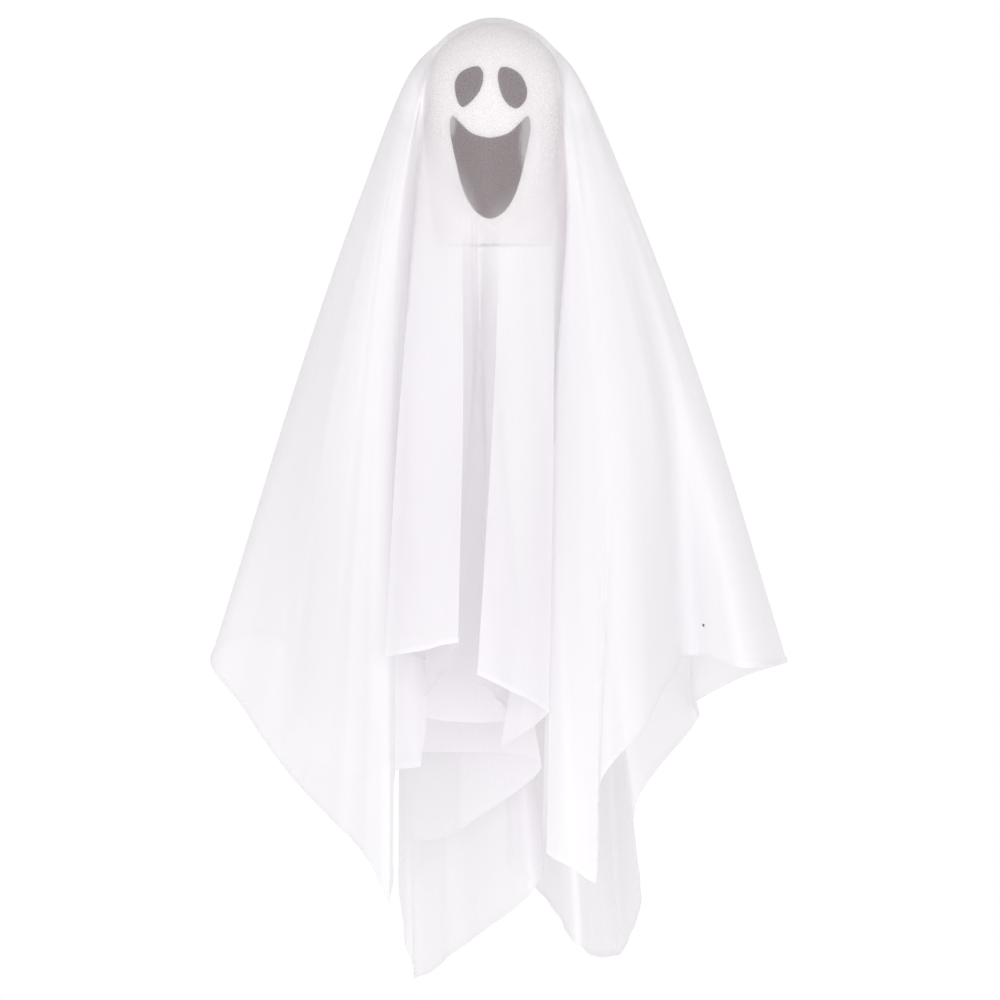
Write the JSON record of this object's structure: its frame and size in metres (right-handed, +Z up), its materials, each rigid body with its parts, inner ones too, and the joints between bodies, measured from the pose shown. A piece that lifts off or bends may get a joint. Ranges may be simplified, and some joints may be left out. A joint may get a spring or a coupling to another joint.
{
  "type": "hanging fabric ghost decoration",
  "caption": "Hanging ghost decoration: a foam head in a white cap with felt eyes and an open mouth, under one sheer sheet that falls in folds to pointed corners.",
  "frame": {"origin": "the hanging hole at the very top of the sheet, where the thread that holds the ghost comes out", "axes": "+Z up along the hanging thread, the face looks along -Y, +X to the viewer's right"},
  "size_m": [0.2993, 0.2925, 0.5071],
  "materials": {
    "foam": "expanded polystyrene foam, matt and beaded",
    "cap_fabric": "white brushed polyester knit",
    "felt": "black polyester craft felt",
    "disc_plastic": "white moulded polyethylene",
    "voile": "sheer white polyester voile with a soft cool sheen",
    "thread": "dark sewing thread"
  },
  "bodies": {
    "root": {"head_core": "foam", "head_cap": "cap_fabric", "left_eye": "felt", "right_eye": "felt", "mouth": "felt", "top_disc": "disc_plastic", "stop_disc": "disc_plastic", "sheet": "voile", "thread_knot": "thread"}
  },
  "joints": []
}
